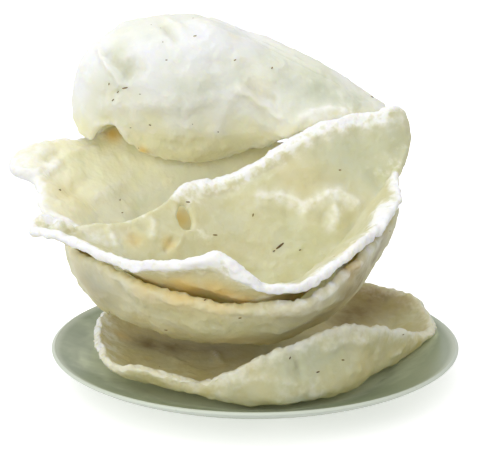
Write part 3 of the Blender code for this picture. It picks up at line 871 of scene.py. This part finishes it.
def papadum(node, name, shift, growth, stack, relief, finish):
    """A packed papadum with its crumples, blisters and nubbly rim."""
    mesh = welded_copy(node, name)
    edge = rim_line(mesh)
    carry(mesh, "shelter", shelter_of(mesh, stack))
    piece = new_piece(name, mesh)
    rounded = piece.modifiers.new("rounded", "SUBSURF")
    rounded.levels = SHEET_LEVELS
    rounded.render_levels = SHEET_LEVELS
    made_plain(piece)
    inset = np.array([edge.find(v.co)[2] for v in piece.data.vertices]) / MM
    full, none = RIM_BAND
    thick = np.clip((none - inset) / (none - full), 0.0, 1.0)
    covered = 1.0 - np.minimum(nearness(piece.data, stack, BARE), 1.0)
    carry(piece.data, "rim", thick * covered)
    carry(piece.data, "fringe", np.exp(-inset / RIM_FRINGE) * covered)
    crest = np.zeros(len(inset))
    for line, width, height in FOLDS[node]:
        fold(piece.data, line, width, height, crest)
    carry(piece.data, "crest", crest)
    # painted golden glow, brown shade, light and chalk, and grey shade at listed places
    for label, places in (("golden_glow", PAINTED_GOLDEN_GLOW), ("brown_shade", PAINTED_BROWN_SHADE), ("white", PAINTED_LIGHT_AND_CHALK), ("grey_shade", PAINTED_GREY_SHADE)):
        carry(piece.data, label, nearness(piece.data, stack, places))
    values = {"Seed": shift, "Rim Growth": growth * MM, "Finish": finish}
    for kind, (size, height) in RELIEF.items():
        values[kind + " Size"] = size * MM
        values[kind + " Height"] = height * MM
    return through_tree(piece, relief, values)


def softened(profile):
    """A smooth curve through the corners of a profile."""
    points = [np.array(p) for p in profile]
    done = []
    for k in range(len(points) - 1):
        before = points[max(k - 1, 0)]
        start, stop = points[k], points[k + 1]
        after = points[min(k + 2, len(points) - 1)]
        for step in range(PLATE_STEPS):
            t = step / PLATE_STEPS
            done.append(0.5 * (2 * start + (stop - before) * t
                               + (2 * before - 5 * start + 4 * stop - after) * t * t
                               + (3 * start - before - 3 * stop + after) * t ** 3))
    return [(abs(float(r)), max(float(h), 0.0)) for r, h in done] + [profile[-1]]


def plate(finish, stack):
    """The side plate, turned from its profile."""
    bm = bmesh.new()
    rings = []
    for radius, height in softened(PLATE_WALL):
        if radius == 0.0:
            rings.append([bm.verts.new((0.0, 0.0, height * MM))])
            continue
        turns = [2.0 * math.pi * k / PLATE_TURNS for k in range(PLATE_TURNS)]
        rings.append([bm.verts.new((radius * MM * math.cos(a), radius * MM * math.sin(a), height * MM))
                      for a in turns])
    for inner, outer in zip(rings, rings[1:]):
        for k in range(PLATE_TURNS):
            corners = [inner[k % len(inner)], outer[k % len(outer)],
                       outer[(k + 1) % len(outer)], inner[(k + 1) % len(inner)]]
            bm.faces.new(list(dict.fromkeys(corners)))
    bmesh.ops.recalc_face_normals(bm, faces=bm.faces[:])
    mesh = bpy.data.meshes.new("glazed plate")
    bm.to_mesh(mesh)
    bm.free()
    mesh.shade_smooth()
    mesh.materials.append(finish)
    # the shelter lightens the glaze as painted light
    carry(mesh, "shelter", shelter_of(mesh, stack))
    return new_piece("glazed_plate", mesh)


def specks(on, name, seed, tree, finish):
    """Toasted specks strewn over a papadum."""
    piece = new_piece(name, on.data.copy())
    return through_tree(piece, tree, {"Density": STREWN_DENSITY, "Length": STREWN_LENGTH * MM, "Seed": seed,
                                      "Finish": finish})


def single_specks(surface, finish):
    """The few specks that stand out, each lying flat where it is seen."""
    bm = bmesh.new()
    _, turn = eye()
    least, share = SPECK_WIDTH
    for spot, length, angle in SPECKS:
        hit, normal = seen_at(spot, surface)
        if hit is None:
            continue
        lean = math.radians(angle)
        along = turn @ Vector((math.cos(lean), math.sin(lean), 0.0))
        along = (along - along.dot(normal) * normal).normalized()
        across = normal.cross(along)
        rows = Matrix((along * length, across * (least + share * length), normal * SPECK_THICKNESS))
        place = Matrix.Translation(hit) @ (rows.transposed() * MM).to_4x4()
        bmesh.ops.create_icosphere(bm, subdivisions=2, radius=0.5, matrix=place)
    mesh = bpy.data.meshes.new("single specks")
    bm.to_mesh(mesh)
    bm.free()
    mesh.shade_smooth()
    mesh.materials.append(finish)
    return new_piece("single_specks", mesh)


# ---------------------------------------------------------------- stage

def table(finish):
    """The floor that the plate stands on."""
    half = FLOOR_SIDE * MM / 2.0
    mesh = bpy.data.meshes.new("table")
    mesh.from_pydata([(-half, -half, 0.0), (half, -half, 0.0), (half, half, 0.0), (-half, half, 0.0)], [],
                     [(0, 1, 2, 3)])
    mesh.materials.append(finish)
    made = new_piece("table", mesh)
    made.visible_diffuse = False


def lamp(name, place, side, power):
    """A square soft white light that looks at the stack."""
    light = bpy.data.lights.new(name, "AREA")
    light.size = side * MM
    light.energy = power
    made = new_piece(name, light)
    made.location = Vector(place) * MM
    made.rotation_mode = "QUATERNION"
    made.rotation_quaternion = (Vector(LAMP_TARGET) * MM - made.location).to_track_quat("-Z", "Y")


def daylight():
    """Even white light, weaker from below than from above, and stronger from the left."""
    world = bpy.data.worlds.new("daylight")
    world.use_nodes = True
    graph = Graph(world.node_tree)
    way = graph.node("ShaderNodeTexCoord", {}, {}, "Generated")
    height = graph.node("ShaderNodeSeparateXYZ", {}, {0: way}, "Z")
    side = graph.node("ShaderNodeSeparateXYZ", {}, {0: way}, "X")
    level = DAY_BELOW + (DAY_ABOVE - DAY_BELOW) * height.between(-DAY_HORIZON, DAY_HORIZON)
    level = level * (1.0 - DAY_LEFT * side.between(-DAY_SIDE, DAY_SIDE) + 0.5 * DAY_LEFT)
    light = graph.node("ShaderNodeBackground", {}, {"Color": (1.0, 1.0, 1.0, 1.0), "Strength": level})
    graph.node("ShaderNodeOutputWorld", {}, {"Surface": light})
    bpy.context.scene.world = world


def camera():
    """The photograph's eye: it looks down at the stack from the front."""
    lens = bpy.data.cameras.new("camera")
    lens.sensor_width = SENSOR
    lens.lens = FOCAL / PICTURE[0] * SENSOR
    lens.clip_end = FAR_CLIP * MM
    made = new_piece("camera", lens)
    made.rotation_mode = "QUATERNION"
    made.location, made.rotation_quaternion = eye()
    bpy.context.scene.camera = made


# ---------------------------------------------------------------- the whole stack

PAPADUMS = [
    # node, shift of its pattern, lit cream where it is open, cream of painted shade where the stack closes
    # it in, how chalky and how much thicker its rim is; the creams are partly each papadum's own tone and
    # partly painted light and shade, whitest on the lit top hood and darkest on the shaded bottom one
    ("papad_bottom", 11.0, (196, 196, 160), (208, 195, 138), 0.4, -0.4),
    ("papad_lower_bowl", 23.0, (216, 210, 174), (214, 203, 152), 0.1, 0.7),
    ("papad_back_bowl", 37.0, (240, 233, 206), (248, 242, 205), 0.7, -0.3),
    ("papad_front_bowl", 41.0, (203, 200, 162), (208, 202, 158), 1.0, 0.0),
    ("papad_top_hood", 53.0, (254, 253, 244), (250, 241, 198), 0.3, -0.3),
]


def main():
    """Set the stage, then dress each papadum, strew its specks and turn the plate."""
    camera()
    daylight()
    for name, place, side, power in LAMPS:
        lamp(name, place, side, power)
    table(floor_finish())
    relief = crisp_relief()
    strewn = fleck_scatter()
    toasted = fleck_finish()
    stack = surface_of(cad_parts.values())
    pieces = []
    for count, (node, shift, lit_cream, shaded_cream, chalk, growth) in enumerate(PAPADUMS):
        label = node.replace("papad_", "")
        finish = crisp_finish("fried rice sheet " + label, shift, lit_cream, shaded_cream, chalk)
        piece = papadum(node, "crisp_" + label, shift, growth, stack, relief, finish)
        flecks = specks(piece, "specks_" + label, STREWN_SEED + count, strewn, toasted)
        for part in (piece, flecks):
            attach(part, "root")
        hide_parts(node)
        pieces.append(piece)
    larger = single_specks(surface_of(pieces), toasted)
    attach(larger, "root")
    dish = plate(glaze_finish(), stack)
    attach(dish, "root")
    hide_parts("plate")
    bpy.context.scene.view_settings.view_transform = "Standard"


main()
